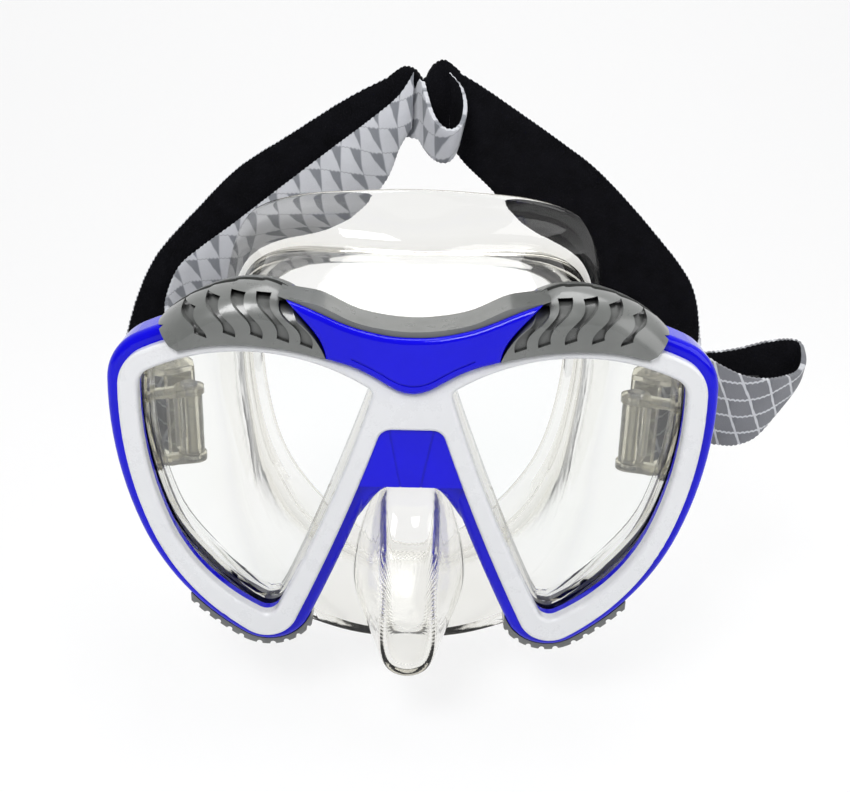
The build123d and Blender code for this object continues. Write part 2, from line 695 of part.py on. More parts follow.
def strap_side(widths):
    """One half of the strap, from behind the right-hand buckle up to the crown."""
    return band((
        ((band_start.X, band_start.Y, 0), (-side_out.X, -side_out.Y, 0), (run_out.X, run_out.Y, 0),
         strap_end_width),
        ((77.0, 54.0, 3.0), (-0.85, 0.3, 0), (0.45, 0.8, 0.4), widths[0]),
        ((81.5, 62.5, 10.0), (-0.9, -0.1, 0.35), (0.25, 0.7, 0.75), widths[1]),
        ((83.5, 71.0, 20.0), (-0.75, -0.6, 0.3), (-0.05, 0.55, 0.9), widths[2]),
        ((81.0, 79.5, 31.0), (-0.4, -0.9, 0.1), (-0.4, 0.3, 0.9), widths[3]),
        ((71.0, 83.0, 43.0), (-0.1, -1, 0), (-0.68, 0.05, 0.72), widths[4]),
        ((48.0, peg_depth + 6.0, peg_height - 33.0), (0, -1, 0), (-0.75, -0.06, 0.66), widths[5]),
        ((26.0, peg_depth + 2.0, peg_height - 17.0), (0, -1, 0), (-0.83, -0.1, 0.55), widths[6]),
        ((12.3, peg_depth, peg_height - 7.7), (0, -1, 0), (-0.87, 0, 0.5), widths[7]),
    ))


keep("strap_band_right", strap_side((27, 29, 33, 38, 42, 44, 38, 26)))
keep("strap_band_left", mirrored(strap_side((27, 28, 29, 30, 30, 30, 28, 26))))

# Outline of the crown, across and up from the peg's bearing point.
crown_outline = ((-18.3, 3.4), (-9, 7.5), (9, 7.5), (18.3, 3.4), (5.6, -18.6), (4.6, -6.0), (3.2, -1.6),
                 (0, 0), (-3.2, -1.6), (-4.6, -6.0), (-5.6, -18.6))
with BuildPart() as crown:
    with BuildSketch(behind(peg_depth - strap_thick / 2)):
        with BuildLine():
            Polyline(*[(x, peg_height + up) for x, up in crown_outline], close=True)
        make_face()
    extrude(amount=-strap_thick)
keep("strap_crown", crown.part)

fold_end = peg_depth - strap_thick / 2 - 1.5 * soft_gap   # just short of the crown's front face
fold_outline = ((-6, 5), (-6, -6), (3, -20), (9, -22), (12, -20), (17, -6), (17, 5))
with BuildPart() as crown_fold:
    with BuildSketch(level(peg_height - 22)):
        with BuildLine():
            Spline((-3.0, fold_end), (1.6, peg_depth - 9.5), (8.0, peg_depth - 12.5),
                   (13.4, peg_depth - 9.5), (14.5, fold_end), tangents=((0.2, -1), (0, 1)))
        trace(line_width=strap_thick)
    extrude(amount=27)
    with BuildSketch(behind(peg_depth - 20)):
        with BuildLine():
            Polyline(*[(x, peg_height + up) for x, up in fold_outline], close=True)
        make_face()
    extrude(amount=-20, mode=Mode.INTERSECT)
keep("strap_crown_fold", crown_fold.part)

fold_left = band((
    ((-8, peg_depth - 2.8, peg_height - 9), (0, 1, 0), (-0.8, 0, -0.5), 17),
    ((-23, peg_depth - 3.5, peg_height - 28), (0, 1, 0), (-0.75, 0, -0.66), 22),
    ((-38, peg_depth, peg_height - 42), (0, 1, 0), (-0.8, 0, -0.6), 23),
    ((-55, 77.5, 42), (0, 1, 0), (-0.88, 0, -0.47), 19),
    ((-70, 77.5, 33.5), (0, 1, 0), (-0.85, 0, -0.5), 13),
))
keep("strap_fold_left", fold_left)

tail_start = (Vector(pivot_x, pivot_depth, 0) + run_out * (roller_reach + turn_run + swing_gap)
              + side_out * (roller_side + (turn_inner + turn_outer) / 2))
with BuildPart() as tail:
    with BuildSketch(level(-13)):
        with BuildLine():
            lead = Spline((tail_start.X, tail_start.Y), (90.0, 47.5), (104.0, 49.0), (118.0, 48.5),
                          tangents=((run_out.X, run_out.Y), (1, 0)))
            bend = ThreePointArc(lead @ 1, (123.0, 53.0), (118.0, 57.5))
            Line(bend @ 1, (97.0, 57.5))
        trace(line_width=strap_thick)
    extrude(amount=33.5)
    with BuildSketch(behind(30)):
        with BuildLine():
            Polyline((78, 13), (84, 15), (92, 20.5), (126, 20.5), (126, 12), (117, -6), (105, -13),
                     (78, -13), close=True)
        make_face()
    extrude(amount=-40, mode=Mode.INTERSECT)
keep("strap_tail_right", tail.part)

# Hook patch sewn to the inner face of the tail's back length.
with BuildPart() as patch:
    with BuildSketch(level(-patch_height / 2)):
        with Locations((105, 57.5 - strap_thick / 2 - patch_thick / 2)):
            Rectangle(14, patch_thick)
    extrude(amount=patch_height)
keep("hook_patch_right", patch.part)

for name, part in pieces.items():
    export_step(part, f"parts/{name}.step")
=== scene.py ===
import math
import bpy
import bmesh
from mathutils import Vector, Matrix


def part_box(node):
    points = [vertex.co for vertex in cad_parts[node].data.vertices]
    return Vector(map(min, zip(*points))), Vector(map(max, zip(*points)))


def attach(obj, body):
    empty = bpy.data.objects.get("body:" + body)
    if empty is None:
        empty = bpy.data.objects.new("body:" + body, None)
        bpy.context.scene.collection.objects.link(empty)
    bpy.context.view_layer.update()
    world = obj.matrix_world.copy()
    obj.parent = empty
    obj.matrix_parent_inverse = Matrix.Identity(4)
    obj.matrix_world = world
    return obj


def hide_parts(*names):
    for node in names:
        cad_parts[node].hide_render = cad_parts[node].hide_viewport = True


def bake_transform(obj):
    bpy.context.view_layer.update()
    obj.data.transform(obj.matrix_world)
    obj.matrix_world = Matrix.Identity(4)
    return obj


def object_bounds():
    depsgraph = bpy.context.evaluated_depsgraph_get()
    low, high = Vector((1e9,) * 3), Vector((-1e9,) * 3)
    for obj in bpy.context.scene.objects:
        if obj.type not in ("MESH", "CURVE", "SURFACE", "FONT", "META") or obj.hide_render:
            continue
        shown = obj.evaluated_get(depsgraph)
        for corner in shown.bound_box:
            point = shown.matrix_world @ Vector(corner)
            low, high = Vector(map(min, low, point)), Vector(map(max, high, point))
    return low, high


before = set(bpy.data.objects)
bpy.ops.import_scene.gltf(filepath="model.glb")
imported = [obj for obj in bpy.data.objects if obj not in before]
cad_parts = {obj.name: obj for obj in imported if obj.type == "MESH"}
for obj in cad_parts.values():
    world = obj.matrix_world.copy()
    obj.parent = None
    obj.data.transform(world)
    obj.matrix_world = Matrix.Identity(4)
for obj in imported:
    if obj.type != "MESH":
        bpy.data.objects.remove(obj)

first_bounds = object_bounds()

# ---------------------------------------------------------------------------------------------
# The set: a view from 22 degrees above the eye line, three soft lamps, and a pale sweep of card
# that runs from the floor up behind the mask.
# ---------------------------------------------------------------------------------------------
scene = bpy.context.scene
scene.view_settings.view_transform = "Standard"
bezel_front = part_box("front_bezel")[0].y
pin_low, pin_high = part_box("pivot_pin_left")
eye_line = (pin_low.z + pin_high.z) / 2


def spot(x, depth, height):
    """Place in metres from millimetres: across, back from the bezel, up from the eye line."""
    return Vector((x / 1000, bezel_front + depth / 1000, eye_line + height / 1000))


aim = spot(0, 0, 20)
camera_rise = math.radians(22.0)
camera_roll = math.radians(1.2)
camera_distance = 0.2963
camera_data = bpy.data.cameras.new("view")
camera_data.sensor_width = 36.0
camera_data.lens = 46.1647
camera_data.shift_x = 0.0147
camera_data.clip_start = 0.01
camera = bpy.data.objects.new("view", camera_data)
scene.collection.objects.link(camera)
camera.location = aim + camera_distance * Vector((0, -math.cos(camera_rise), math.sin(camera_rise)))
look = (aim - camera.location).to_track_quat("-Z", "Y").to_matrix().to_4x4()
camera.matrix_world = (Matrix.Translation(camera.location) @ look
                       @ Matrix.Rotation(camera_roll, 4, "Z"))
scene.camera = camera


def wire(tree, source, target):
    """Join an output (or set a plain value) to an input."""
    if isinstance(source, bpy.types.NodeSocket):
        tree.links.new(source, target)
    else:
        target.default_value = source


def maths(tree, operation, a, b=None, c=None, clamp=False):
    """A maths node on values or sockets; gives its result."""
    node = tree.nodes.new("ShaderNodeMath")
    node.operation = operation
    node.use_clamp = clamp
    for socket, value in zip(node.inputs, (a, b, c)):
        if value is not None:
            wire(tree, value, socket)
    return node.outputs[0]


def shader_mix(tree, factor, a, b):
    """A mix of two shaders; gives the mixed one."""
    node = tree.nodes.new("ShaderNodeMixShader")
    for socket, value in zip(node.inputs, (factor, a, b)):
        tree.links.new(value, socket)
    return node.outputs[0]


def seen_directly(tree):
    """1 where a ray comes from the camera, a gloss or a clear piece, else 0; and its path."""
    path = tree.nodes.new("ShaderNodeLightPath")
    first = maths(tree, "MAXIMUM", path.outputs["Is Camera Ray"], path.outputs["Is Glossy Ray"])
    return maths(tree, "MAXIMUM", first, path.outputs["Is Transmission Ray"]), path


# The surround: a dim cool light on every surface, and white where the surround itself is seen.
room_light = 0.34
clear_gain = 0.4
world = bpy.data.worlds.new("surround")
scene.world = world
world.use_nodes = True
tree = world.node_tree
tree.nodes.clear()
plain = tree.nodes.new("ShaderNodeBackground")
plain.inputs["Color"].default_value = (0.93, 0.95, 1.0, 1)
plain.inputs["Strength"].default_value = room_light
white = tree.nodes.new("ShaderNodeBackground")
shown, path = seen_directly(tree)
# In glosses and clear pieces, the room in front of the mask is dimmer than the white behind it.
way = tree.nodes.new("ShaderNodeSeparateXYZ")
tree.links.new(tree.nodes.new("ShaderNodeTexCoord").outputs["Generated"], way.inputs[0])
room = tree.nodes.new("ShaderNodeMapRange")
room.interpolation_type = "SMOOTHSTEP"
for label, value in (("From Min", -0.5), ("From Max", 0.35), ("To Min", 0.3), ("To Max", 1.0)):
    room.inputs[label].default_value = value
tree.links.new(way.outputs["Y"], room.inputs["Value"])
level = maths(tree, "MAXIMUM", room.outputs[0], path.outputs["Is Camera Ray"])
strength = maths(tree, "MULTIPLY_ADD", path.outputs["Is Transmission Ray"], clear_gain, level,
                 clamp=True)
tree.links.new(strength, white.inputs["Strength"])
tree.links.new(shader_mix(tree, shown, plain.outputs[0], white.outputs[0]),
               tree.nodes.new("ShaderNodeOutputWorld").inputs["Surface"])

for name, place, size, power in (("key", (-0.22, -0.5, 0.5), 0.3, 4.2),
                                 ("fill", (0.6, -0.35, 0.25), 0.5, 2.0),
                                 ("top", (0.1, 0.12, 0.6), 0.45, 2.6)):
    lamp = bpy.data.lights.new(name, "AREA")
    lamp.size = size
    lamp.energy = power
    holder = bpy.data.objects.new(name, lamp)
    scene.collection.objects.link(holder)
    holder.location = place
    holder.rotation_euler = (aim - Vector(place)).to_track_quat("-Z", "Y").to_euler()

# The card: level in front, bent up through a quarter circle, then upright.
floor_level = first_bounds[0][2] - 0.02
card_front, card_bend, card_top = -1.6, 0.3, 1.8
bend_radius = 0.5
half_card = 2.5
profile = [(card_front, floor_level), (card_bend, floor_level)]
for turn in range(10, 91, 10):
    angle = math.radians(turn)
    profile.append((card_bend + bend_radius * math.sin(angle),
                    floor_level + bend_radius - bend_radius * math.cos(angle)))
profile.append((card_bend + bend_radius, card_top))
sweep_mesh = bpy.data.meshes.new("sweep")
sweep_mesh.from_pydata([(x, y, z) for y, z in profile for x in (-half_card, half_card)], [],
                       [(2 * i, 2 * i + 1, 2 * i + 3, 2 * i + 2)
                        for i in range(len(profile) - 1)])
sweep_mesh.shade_smooth()
sweep = bpy.data.objects.new("sweep", sweep_mesh)
scene.collection.objects.link(sweep)


def new_material(name):
    """A fresh material with its node tree and its shader."""
    mat = bpy.data.materials.new(name)
    mat.use_nodes = True
    return mat, mat.node_tree, mat.node_tree.nodes["Principled BSDF"]


card_glow = 0.8
card, tree, bsdf = new_material("white_card")
bsdf.inputs["Base Color"].default_value = (0.9, 0.9, 0.9, 1)
bsdf.inputs["Roughness"].default_value = 0.9
bright = tree.nodes.new("ShaderNodeEmission")
share = maths(tree, "MULTIPLY", seen_directly(tree)[0], card_glow)
tree.links.new(shader_mix(tree, share, bsdf.outputs[0], bright.outputs[0]),
               tree.nodes["Material Output"].inputs["Surface"])
sweep_mesh.materials.append(card)

# ---------------------------------------------------------------------------------------------
# Front bezel: one injection-moulded trim in pearl-white plastic, satin from its tool, snapped
# on to the frame. Its drift of colour and its fine grain serve the other mouldings too.
# ---------------------------------------------------------------------------------------------


def effect(name, inputs, outputs):
    """An empty node group with its sockets: (name, type, value) in and (name, type) out."""
    group = bpy.data.node_groups.new(name, "ShaderNodeTree")
    for label, kind, value in inputs:
        socket = group.interface.new_socket(label, in_out="INPUT", socket_type="NodeSocket" + kind)
        socket.default_value = value
    for label, kind in outputs:
        group.interface.new_socket(label, in_out="OUTPUT", socket_type="NodeSocket" + kind)
    return group, group.nodes.new("NodeGroupInput"), group.nodes.new("NodeGroupOutput")


def colour_mix(tree, factor, a, b, blend="MIX"):
    """A colour mix of two colours or sockets."""
    node = tree.nodes.new("ShaderNodeMix")
    node.data_type = "RGBA"
    node.blend_type = blend
    factor_in, a_in, b_in = (node.inputs[i] for i in (0, 6, 7))
    wire(tree, factor, factor_in)
    wire(tree, a, a_in)
    wire(tree, b, b_in)
    return node.outputs[2]


def noise(tree, scale, detail):
    """Noise over the piece's own space, in metres."""
    node = tree.nodes.new("ShaderNodeTexNoise")
    place = tree.nodes.new("ShaderNodeTexCoord").outputs["Object"]
    for label, value in (("Vector", place), ("Scale", scale), ("Detail", detail)):
        wire(tree, value, node.inputs[label])
    return node.outputs[0]


drift, get, put = effect("colour_drift",
                         (("Deep", "Color", (0.5, 0.5, 0.5, 1)),
                          ("Pale", "Color", (0.6, 0.6, 0.6, 1)),
                          ("Scale", "Float", 60.0)),
                         (("Colour", "Color"),))
cloud = maths(drift, "MULTIPLY_ADD", noise(drift, get.outputs["Scale"], 3.0), 1.6, -0.3, clamp=True)
wire(drift, colour_mix(drift, cloud, get.outputs["Deep"], get.outputs["Pale"]),
     put.inputs["Colour"])

grain, get, put = effect("moulded_grain",
                         (("Scale", "Float", 2500.0), ("Low", "Float", 0.2),
                          ("High", "Float", 0.35)),
                         (("Roughness", "Float"), ("Height", "Float")))
coarser = 0.06
fine = noise(grain, get.outputs["Scale"], 2.0)
broad = noise(grain, maths(grain, "MULTIPLY", get.outputs["Scale"], coarser), 2.0)
both = maths(grain, "MULTIPLY_ADD", broad, 0.7, maths(grain, "MULTIPLY", fine, 0.3))
span = maths(grain, "SUBTRACT", get.outputs["High"], get.outputs["Low"])
wire(grain, maths(grain, "MULTIPLY_ADD", both, span, get.outputs["Low"]), put.inputs["Roughness"])
wire(grain, maths(grain, "MULTIPLY_ADD", broad, 0.4, maths(grain, "MULTIPLY", fine, 0.6)),
     put.inputs["Height"])


def placed(tree, group, **values):
    """Put a shared effect in a material with its own values."""
    node = tree.nodes.new("ShaderNodeGroup")
    node.node_tree = group
    for label, value in values.items():
        wire(tree, value, node.inputs[label])
    return node


def bumped(tree, bsdf, height, distance):
    """Raise the surface by a height that runs from 0 to 1, times a distance in metres."""
    bump = tree.nodes.new("ShaderNodeBump")
    bump.inputs["Distance"].default_value = distance
    tree.links.new(height, bump.inputs["Height"])
    tree.links.new(bump.outputs[0], bsdf.inputs["Normal"])


def moulding(name, deep, pale, low, high, grain_scale=2500.0, bump=0.00001, drift_scale=60.0,
             **uniform):
    """A moulded material; uniform values go straight on to the shader's own sockets."""
    mat, tree, bsdf = new_material(name)
    tint = placed(tree, drift, Deep=(*deep, 1), Pale=(*pale, 1), Scale=drift_scale)
    skin = placed(tree, grain, Scale=grain_scale, Low=low, High=high)
    tree.links.new(tint.outputs["Colour"], bsdf.inputs["Base Color"])
    tree.links.new(skin.outputs["Roughness"], bsdf.inputs["Roughness"])
    if bump:
        bumped(tree, bsdf, skin.outputs["Height"], bump)
    for label, value in uniform.items():
        bsdf.inputs[label.replace("_", " ")].default_value = value
    return mat


def dress(mat, *nodes):
    """Give CAD nodes their material."""
    for node in nodes:
        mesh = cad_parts[node].data
        mesh.materials.clear()
        mesh.materials.append(mat)


pearl_white = moulding("pearl_white", (0.635, 0.64, 0.65), (0.66, 0.665, 0.675), 0.22, 0.34,
                       Coat_Weight=0.25, Coat_Roughness=0.12)
dress(pearl_white, "front_bezel")

# ---------------------------------------------------------------------------------------------
# Main frame: glass-hard polycarbonate, blue right through and polished in its tool, with the
# raised brow panel and the nose arch in the same shot.
# ---------------------------------------------------------------------------------------------
royal_blue = moulding("royal_blue", (0.002, 0.0005, 0.5), (0.003, 0.0009, 0.62), 0.07, 0.16,
                      grain_scale=1200.0, bump=0.000006,
                      Coat_Weight=0.45, Coat_Roughness=0.03, Specular_IOR_Level=0.03)
dress(royal_blue, "main_frame")

# ---------------------------------------------------------------------------------------------
# Grips: soft grey rubber moulded over the frame, S-grooved over the brow and ribbed at the
# chin, with the sheen of a filled elastomer. Painted shade makes the grooves darker than the faces.
# ---------------------------------------------------------------------------------------------
rubber = moulding("grip_rubber", (0.105, 0.11, 0.104), (0.145, 0.15, 0.143), 0.2, 0.4,
                  grain_scale=3500.0, bump=0.00002, drift_scale=110.0,
                  Coat_Weight=0.5, Coat_Roughness=0.12)
# Painted shade: an ambient occlusion mask over a few millimetres darkens the colour towards near
# black in the grooves.
painted_shade_reach = 0.0035
groove_painted_shade = (0.012, 0.012, 0.012, 1)
tree = rubber.node_tree
groove_occlusion = tree.nodes.new("ShaderNodeAmbientOcclusion")
groove_occlusion.inputs["Distance"].default_value = painted_shade_reach
ground = tree.nodes["Principled BSDF"].inputs["Base Color"]
shade = maths(tree, "MULTIPLY_ADD", groove_occlusion.outputs["AO"], 1.3, -0.25, clamp=True)
tree.links.new(colour_mix(tree, shade, groove_painted_shade, ground.links[0].from_socket), ground)
dress(rubber, "brow_grip", "chin_grip_right", "chin_grip_left")

# ---------------------------------------------------------------------------------------------
# Lenses: panes of toughened float glass with ground edges, each held in a lip of the skirt. A
# faint smear varies their gloss.
# ---------------------------------------------------------------------------------------------
glass = moulding("toughened_glass", (0.97, 0.99, 0.985), (1, 1, 1), 0.0, 0.012,
                 grain_scale=400.0, bump=None, drift_scale=20.0, Transmission_Weight=1.0, IOR=1.45)
dress(glass, "lens_right", "lens_left")

# ---------------------------------------------------------------------------------------------
# Retainers: smoked plastic rings that snap in from behind and clamp each pane, with the lip of
# the skirt round it, into the frame.
# ---------------------------------------------------------------------------------------------
smoked_ring = moulding("smoked_retainer", (0.012, 0.014, 0.05), (0.03, 0.032, 0.07), 0.2, 0.4,
                       Coat_Weight=0.2)
dress(smoked_ring, "retainer_right", "retainer_left")

# ---------------------------------------------------------------------------------------------
# Skirt: clear liquid silicone in one shot: lens flanges, chamber walls, a nose pocket that
# pushes out under the arch, and a wide seal that lies on the face. Lengths are in millimetres.
# ---------------------------------------------------------------------------------------------
wall = 1.8
around = 72
face_radius = 95.0
seal_middle = 52.0 + face_radius
# Each shape is a depth and the right half of its outline, (across, height) from the top down.
chamber_shapes = (
    (16.3, ((0, 33.0), (24, 34.0), (50, 34.5), (71, 29.5), (76.5, 12.0), (74.8, -9.0),
            (65.0, -31.0), (49.0, -52.5), (34.0, -61.5), (17.0, -67.5), (0, -69.0))),
    (21.0, ((0, 33.5), (22, 34.5), (42, 35.0), (55, 29.0), (55.5, 12.0), (52.0, -9.0),
            (49.5, -29.0), (42.0, -48.0), (32.0, -58.5), (17.0, -66.5), (0, -68.5))),
    (34.0, ((0, 40.0), (20, 40.5), (40, 39.5), (52, 31.0), (53.0, 13.0), (51.0, -8.0),
            (48.5, -28.0), (40.0, -47.0), (29.0, -57.5), (15.0, -64.0), (0, -66.0))),
    (46.0, ((0, 47.5), (20, 47.5), (40, 45.0), (52.5, 35.0), (55.0, 14.0), (53.0, -8.0),
            (49.3, -27.5), (40.0, -45.0), (28.0, -54.5), (14.0, -60.5), (0, -62.5))),
)
seal_foot = ((0, 50.5), (20, 50.5), (42, 48.0), (55, 37.0), (58.5, 14.0), (57.0, -8.0),
             (52.0, -27.0), (42.0, -44.0), (29.0, -54.5), (15.0, -60.5), (0, -62.0))
seal_outer = ((0, 66.0), (18, 65.0), (37, 62.0), (53, 54.5), (61, 38.0), (64.5, 15.0), (62.5, -9.0),
              (57.0, -29.0), (46.0, -47.5), (31.5, -59.0), (15.5, -65.5), (0, -67.5))
seal_inner = ((0, 42.0), (18, 42.0), (35, 39.5), (46, 31.0), (49.5, 13.0), (47.5, -8.0),
              (42.0, -25.0), (31.5, -38.5), (21.0, -47.0), (11.5, -54.0), (0, -57.0))
# The seal's section, from the outer wall's foot round its lips to the inner wall's foot:
# outline, inset from it, and place behind the curve of the face.
seal_section = (
    (seal_foot, 0.0, -1.0), (seal_outer, 2.4, -0.2), (seal_outer, 0.5, -0.3),
    (seal_outer, 0.0, 0.8), (seal_outer, 0.5, 2.1), (seal_outer, 2.4, 1.9),
    (seal_foot, 0.0, 1.8), (seal_inner, -1.5, 1.6), (seal_inner, 0.0, 1.4),
    (seal_inner, 0.0, 0.4), (seal_inner, -1.5, -0.2), (seal_foot, wall + 1.0, -1.2),
)
# The chamber's inner wall, from the seal to the lenses: step back and inset at each outline.
inner_steps = ((0.4, 1.8), (0.4, 1.8), (-1.5, 1.8), (-0.35, 2.1), (-0.1, 2.2))


def curve_point(a, b, c, d, t):
    """The point at share t from b to c on the smooth curve through four points."""
    return 0.5 * (2 * b + t * (c - a) + t * t * (2 * a - 5 * b + 4 * c - d)
                  + t ** 3 * (3 * b - a - 3 * c + d))


def flowed(points, count, closed=False):
    """Points along a smooth line through the given ones, evenly spaced by length."""
    pts = [Vector(p) for p in points]
    pieces = 12
    fine = []
    for i in range(len(pts) if closed else len(pts) - 1):
        if closed:
            near = [pts[(i + k) % len(pts)] for k in (-1, 0, 1, 2)]
        else:
            near = [pts[min(max(i + k, 0), len(pts) - 1)] for k in (-1, 0, 1, 2)]
        fine += [curve_point(*near, s / pieces) for s in range(pieces)]
    fine.append(pts[0].copy() if closed else pts[-1].copy())
    lengths = [0.0]
    for p, q in zip(fine, fine[1:]):
        lengths.append(lengths[-1] + (q - p).length)
    out = []
    k = 0
    steps = count if closed else count - 1
    for i in range(count):
        goal = lengths[-1] * i / steps
        while k < len(fine) - 2 and lengths[k + 1] < goal:
            k += 1
        gap = lengths[k + 1] - lengths[k]
        out.append(fine[k].lerp(fine[k + 1], (goal - lengths[k]) / gap if gap > 1e-12 else 0.0))
    return out


def full_ring(half, inset=0.0):
    """Evenly spaced closed outline from the right half's points, set in by so much if asked."""
    right = [Vector((x, y, 0)) for x, y in half]
    left = [Vector((-p.x, p.y, 0)) for p in right[-2:0:-1]]
    ring = flowed(right + left, around, closed=True)
    if not inset:
        return ring
    runs = [ring[(i + 1) % around] - ring[i - 1] for i in range(around)]
    return [p + inset * Vector((run.y, -run.x, 0)).normalized() for p, run in zip(ring, runs)]


def on_face(x, back=0.0):
    """Depth of the seal's surface at one place across."""
    return seal_middle - math.sqrt(face_radius ** 2 - x * x) + back


def applied(piece):
    """Apply a piece's modifiers to its mesh."""
    depsgraph = bpy.context.evaluated_depsgraph_get()
    mesh = bpy.data.meshes.new_from_object(piece.evaluated_get(depsgraph))
    piece.modifiers.clear()
    piece.data = mesh


def cleaned(mesh, join=0.0):
    """Join points that lie together, if asked, and turn every face outward."""
    bm = bmesh.new()
    bm.from_mesh(mesh)
    if join:
        bmesh.ops.remove_doubles(bm, verts=bm.verts, dist=join)
    bmesh.ops.recalc_face_normals(bm, faces=bm.faces)
    bm.to_mesh(mesh)
    bm.free()


def shown_piece(name, mesh):
    """An object of a mesh, in the scene."""
    piece = bpy.data.objects.new(name, mesh)
    scene.collection.objects.link(piece)
    return piece


def smoothed(mesh, crease):
    """Shade a mesh smooth, with sharp edges where it bends by more than so many degrees."""
    mesh.shade_smooth()
    mesh.set_sharp_from_angle(angle=math.radians(crease))


def lofted_shell(name, rings, closed_loop, smooth=2):
    """Mesh through rings of (x, depth, height), capped unless it closes on itself."""
    mesh = bpy.data.meshes.new(name)
    n = len(rings[0])
    faces = []
    for r in range(len(rings) if closed_loop else len(rings) - 1):
        s = (r + 1) % len(rings)
        for i in range(n):
            j = (i + 1) % n
            faces.append((r * n + i, r * n + j, s * n + j, s * n + i))
    if not closed_loop:
        faces.append(tuple(range(n - 1, -1, -1)))
        faces.append(tuple((len(rings) - 1) * n + i for i in range(n)))
    mesh.from_pydata([spot(*p) for ring in rings for p in ring], [], faces)
    cleaned(mesh)
    piece = shown_piece(name, mesh)
    if smooth:
        sub = piece.modifiers.new("round", "SUBSURF")
        sub.levels = smooth
        sub.render_levels = smooth
        applied(piece)
    return piece


def united(piece, other, operation):
    """Join a closed mesh to a piece, or cut it out of it; the closed mesh goes."""
    cut = piece.modifiers.new("join", "BOOLEAN")
    cut.operation = operation
    cut.solver = "MANIFOLD"
    cut.object = other
    applied(piece)
    bpy.data.objects.remove(other)


# A hem ring close behind the front outline keeps the flange's rim tight when it is rounded.
(front_depth, front_half), (next_depth, next_half) = chamber_shapes[:2]
hem = 0.12
hem_half = [(a + hem * (c - a), b + hem * (d - b))
            for (a, b), (c, d) in zip(front_half, next_half)]
hem_depth = front_depth + hem * (next_depth - front_depth)
chamber = [chamber_shapes[0], (hem_depth, hem_half), *chamber_shapes[1:]]
rings = [[(p.x, depth, p.y) for p in full_ring(half)] for depth, half in chamber]
rings += [[(p.x, on_face(p.x, back), p.y) for p in full_ring(outline, inset)]
          for outline, inset, back in seal_section]
rings += [[(p.x, depth + back, p.y) for p in full_ring(half, inset)]
          for (depth, half), (back, inset) in zip(reversed(chamber), inner_steps)]
skirt = lofted_shell("skirt_shell", rings, True, smooth=1)


def plate(name, outline, holes, depth, thick):
    """Flat sheet of one outline with holes, standing in a frontal plane."""
    curve = bpy.data.curves.new(name, "CURVE")
    curve.dimensions = "2D"
    curve.fill_mode = "BOTH"
    curve.extrude = thick / 2000
    for edge in (outline, *holes):
        spline = curve.splines.new("POLY")
        spline.points.add(len(edge) - 1)
        for point, p in zip(spline.points, edge):
            point.co = (p[0] / 1000, p[1] / 1000, 0, 1)
        spline.use_cyclic_u = True
    maker = shown_piece(name, curve)
    maker.matrix_world = (Matrix.Translation(spot(0, depth + thick / 2, 0))
                          @ Matrix.Rotation(math.pi / 2, 4, "X"))
    bpy.context.view_layer.update()
    depsgraph = bpy.context.evaluated_depsgraph_get()
    mesh = bpy.data.meshes.new_from_object(maker.evaluated_get(depsgraph))
    mesh.transform(maker.matrix_world)
    bpy.data.objects.remove(maker)
    cleaned(mesh, join=1e-6)
    return shown_piece(name, mesh)


eye_points = 60


def eye_outline(grow, side):
    """The lens opening's drop shape, grown or shrunk, on one side."""
    corners = ((11.5, 20.0), (26.0, 26.6), (42.5, 31.2), (58.0, 30.6), (71.0, 27.2), (74.4, 20.5),
               (74.5, 2.0), (69.2, -20.5), (58.5, -36.8), (45.5, -49.6), (40.4, -50.8),
               (36.6, -46.5), (24.1, -17.0), (11.6, 16.5))
    ring = flowed([(x, y, 0) for x, y in corners], eye_points, closed=True)
    out = []
    for i, p in enumerate(ring):
        run = ring[(i + 1) % eye_points] - ring[i - 1]
        out.append((side * (p.x - grow * run.y / run.length), p.y + grow * run.x / run.length))
    return out


# The plate between the chamber and the lenses, and the lip that grips the edge of each pane.
flange_front = 6.6
lens_front = 7.5
lens_back = 11.3
flange_back = 12.2
slack = 0.02
lip_back = front_depth + wall - 0.25
plate_inset = 1.0
plate_front = front_depth + 0.05
hole_growth = 0.1
sheet = plate("skirt_plate", [(p.x, p.y) for p in full_ring(front_half, plate_inset)],
              [eye_outline(hole_growth, side) for side in (1, -1)], plate_front, wall)
united(skirt, sheet, "UNION")
# The lip's section: growth of the eye outline, and depth.
lip_section = ((1.0, lip_back), (1.0, flange_back), (4.1, flange_back), (4.1, flange_front),
               (0.9, flange_front), (0.9, lens_front - slack), (2.5, lens_front - slack),
               (2.5, lens_back + slack), (-0.8, lens_back + slack), (-0.8, lip_back))
for side in (1, -1):
    lips = lofted_shell(f"lips_{side}", [[(x, depth, y) for x, y in eye_outline(grow, side)]
                                         for grow, depth in lip_section], True, smooth=0)
    united(skirt, lips, "UNION")

# The nose pocket: its outlines from the tip back, joined on and then hollowed from behind.
pocket_shapes = (
    (-11.0, ((0, -34.0), (5.0, -36.0), (7.0, -44.0), (7.2, -54.0), (5.0, -60.0), (0, -62.5))),
    (-10.3, ((0, -30.0), (6.4, -32.0), (8.2, -43.0), (8.4, -55.0), (5.8, -62.0), (0, -64.5))),
    (-6.0, ((0, -20.0), (7.6, -22.0), (8.8, -39.0), (9.0, -55.0), (6.4, -63.6), (0, -66.3))),
    (4.0, ((0, -11.0), (8.0, -13.0), (12.6, -34.0), (13.0, -52.0), (8.6, -63.6), (0, -67.4))),
    (16.0, ((0, -11.0), (9.0, -13.0), (16.0, -33.0), (17.0, -50.0), (11.0, -63.6), (0, -68.0))),
    (19.0, ((0, -11.0), (9.0, -13.0), (16.0, -33.0), (17.0, -50.0), (11.0, -63.6), (0, -68.0))),
)
pocket_root = 25.0
inner_lag = 0.4
outer = [[(p.x, depth, p.y) for p in full_ring(half)] for depth, half in pocket_shapes]
inner = [[(p.x, depth + (wall if depth < 0 else inner_lag), p.y) for p in full_ring(half, wall)]
         for depth, half in pocket_shapes[1:]]
